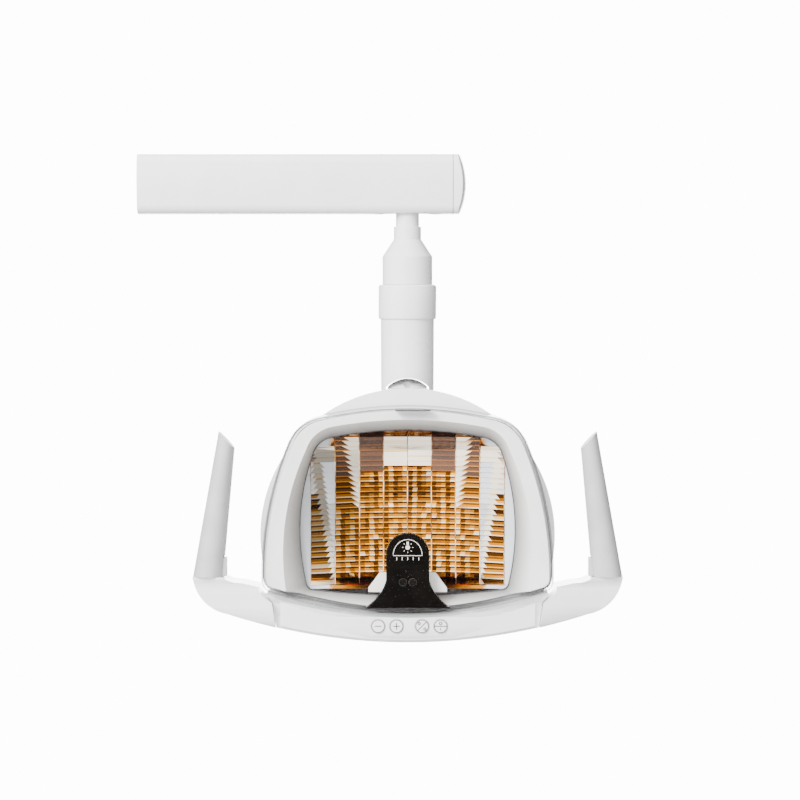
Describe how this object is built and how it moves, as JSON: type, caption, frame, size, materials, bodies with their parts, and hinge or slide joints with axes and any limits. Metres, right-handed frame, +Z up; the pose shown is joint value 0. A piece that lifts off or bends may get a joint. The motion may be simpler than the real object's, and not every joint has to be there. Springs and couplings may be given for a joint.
{
  "type": "dental operating light",
  "caption": "Dental operating light: horizontal arm end, swivel neck with sliding collar, tilting lamp head with faceted gold reflector, clear shield, sensor and two grips.",
  "frame": {"origin": "centre of the arm's root face, where the arm bolts to the next arm", "axes": "+X along the arm towards the neck, +Z up, the lamp shines towards -Y"},
  "size_m": [0.4739, 0.1605, 0.4725],
  "materials": {
    "white_enamel": "semi-gloss powder coat",
    "white_plastic": "gloss moulded",
    "bezel_plastic": "satin moulded",
    "grey_plastic": "satin, autoclavable",
    "black_gloss": "high gloss",
    "clear_cover": "clear polycarbonate",
    "gold_mirror": "dichroic coated glass",
    "capsule_glass": "clear quartz",
    "ceramic": "glazed white",
    "sensor_lens": "dark infrared lens",
    "machined_alu": "machined",
    "steel": "zinc plated",
    "bearing_plastic": "acetal",
    "lead_rubber": "silicone",
    "board_green": "solder mask"
  },
  "bodies": {
    "arm": {"arm_tube": "white_enamel", "arm_end_cap": "white_plastic", "arm_root_plug": "machined_alu", "pivot_block": "machined_alu", "pivot_block_screws": "steel", "yaw_stop_pin": "steel", "lower_bush": "bearing_plastic", "upper_bush": "bearing_plastic", "thrust_washer": "steel", "yaw_brake_screw": "steel", "arm_lead": "lead_rubber"},
    "neck": {"neck_pin": "white_enamel", "pin_nut": "machined_alu", "neck_upper_cover": "white_plastic", "neck_fork_tube": "white_enamel", "retaining_segment": "steel", "tilt_axle": "steel", "axle_screws": "steel", "friction_discs": "bearing_plastic", "neck_lead": "lead_rubber"},
    "collar": {"collar": "white_plastic"},
    "head": {"rear_shell": "white_plastic", "pivot_well": "white_plastic", "tilt_knuckle": "white_enamel", "axle_bushes": "bearing_plastic", "chassis_plate": "steel", "knuckle_screws": "steel", "frame_posts": "steel", "frame_screws": "steel", "rear_standoffs": "steel", "rear_screws": "steel", "reflector": "gold_mirror", "bezel": "bezel_plastic", "pod_panel": "black_gloss", "pod_housing": "black_gloss", "sensor_eyes": "sensor_lens", "sensor_board": "board_green", "lamp_holder": "ceramic", "lamp_pins": "steel", "lamp_capsule": "capsule_glass", "chin_cover": "white_plastic", "key_mat": "lead_rubber", "key_board": "board_green", "handle_arm_right": "white_plastic", "handle_arm_left": "white_plastic"},
    "shield": {"clear_shield": "clear_cover"},
    "grip_right": {"grip_right": "grey_plastic"},
    "grip_left": {"grip_left": "grey_plastic"},
    "latch_right": {"latch_right": "grey_plastic"},
    "latch_left": {"latch_left": "grey_plastic"},
    "key_minus": {"key_minus": "white_plastic"},
    "key_plus": {"key_plus": "white_plastic"},
    "key_mode": {"key_mode": "white_plastic"},
    "key_power": {"key_power": "white_plastic"}
  },
  "joints": [
    {"name": "neck_yaw", "type": "hinge", "parent": "arm", "child": "neck", "pos_m": [0.2674, 0, 0], "axis": [0, 0, 1], "range_deg": [-160, 160]},
    {"name": "collar_slide", "type": "slide", "parent": "neck", "child": "collar", "axis": [0, 0, 1], "range_m": [0, 0.024]},
    {"name": "head_tilt", "type": "hinge", "parent": "neck", "child": "head", "pos_m": [0.2674, 0, -0.221], "axis": [1, 0, 0], "range_deg": [-15, 75]},
    {"name": "shield_pull", "type": "slide", "parent": "head", "child": "shield", "axis": [0, -1, 0], "range_m": [0, 0.07]},
    {"name": "grip_right_pull", "type": "slide", "parent": "head", "child": "grip_right", "axis": [-0.134, 0, 0.991], "range_m": [0, 0.08]},
    {"name": "grip_left_pull", "type": "slide", "parent": "head", "child": "grip_left", "axis": [0.134, 0, 0.991], "range_m": [0, 0.08]},
    {"name": "latch_right_press", "type": "slide", "parent": "head", "child": "latch_right", "axis": [1, 0, 0], "range_m": [0, 0.0022], "stiffness_N_per_m": 500},
    {"name": "latch_left_press", "type": "slide", "parent": "head", "child": "latch_left", "axis": [-1, 0, 0], "range_m": [0, 0.0022], "stiffness_N_per_m": 500},
    {"name": "key_minus_press", "type": "slide", "parent": "head", "child": "key_minus", "axis": [0, 1, 0], "range_m": [0, 0.0008], "stiffness_N_per_m": 900},
    {"name": "key_plus_press", "type": "slide", "parent": "head", "child": "key_plus", "axis": [0, 1, 0], "range_m": [0, 0.0008], "stiffness_N_per_m": 900},
    {"name": "key_mode_press", "type": "slide", "parent": "head", "child": "key_mode", "axis": [0, 1, 0], "range_m": [0, 0.0008], "stiffness_N_per_m": 900},
    {"name": "key_power_press", "type": "slide", "parent": "head", "child": "key_power", "axis": [0, 1, 0], "range_m": [0, 0.0008], "stiffness_N_per_m": 900}
  ]
}
